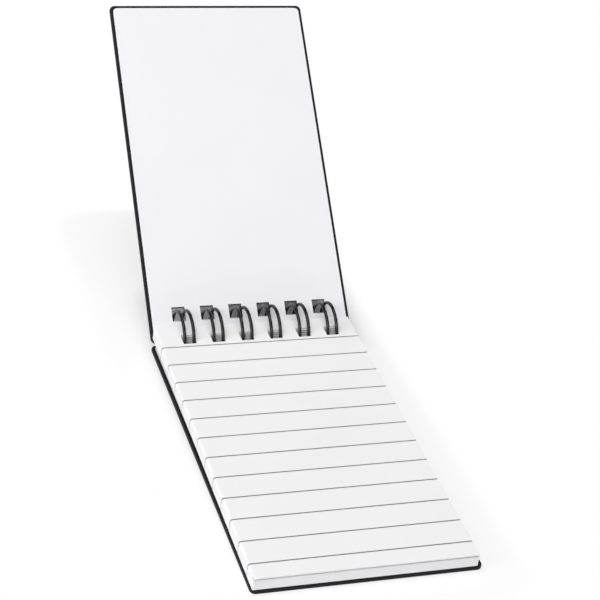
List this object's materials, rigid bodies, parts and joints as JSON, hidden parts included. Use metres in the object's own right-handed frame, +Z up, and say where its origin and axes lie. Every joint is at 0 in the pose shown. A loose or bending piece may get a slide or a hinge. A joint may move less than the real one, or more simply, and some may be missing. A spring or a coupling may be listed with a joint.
{
  "type": "pocket jotter",
  "caption": "Top-bound pocket note pad with hard covers, ruled pages and a twin-loop wire; it lies on its back cover with the front cover thrown well back.",
  "frame": {"origin": "centre of the bounding box's underside: on the surface that the pad lies on, midway between the front edge of the back cover and the free edge of the opened front cover", "axes": "+Z up, +Y from the pages' front edge towards the opened front cover, +X to the right along the binding"},
  "size_m": [0.06, 0.1835, 0.0759],
  "materials": {
    "cover_board": "black paper on board, matt with a faint sheen",
    "lining_paper": "smooth white paper, matt",
    "page_paper": "white writing paper with thin grey rules",
    "coated_wire": "black nylon coating over steel, satin"
  },
  "bodies": {
    "pad": {"page_block": "page_paper", "binding_wire": "coated_wire"},
    "front_cover": {"front_cover": "cover_board", "front_lining": "lining_paper"},
    "back_cover": {"back_cover": "cover_board", "back_lining": "lining_paper"}
  },
  "joints": [
    {"name": "front_cover_hinge", "type": "hinge", "parent": "pad", "child": "front_cover", "pos_m": [0, 0.01222, 0.00844], "axis": [-1, 0, 0], "range_deg": [-141.1, 40.2]},
    {"name": "back_cover_hinge", "type": "hinge", "parent": "pad", "child": "back_cover", "pos_m": [0, 0.01377, 0.01179], "axis": [1, 0, 0], "range_deg": [0, 25]}
  ]
}
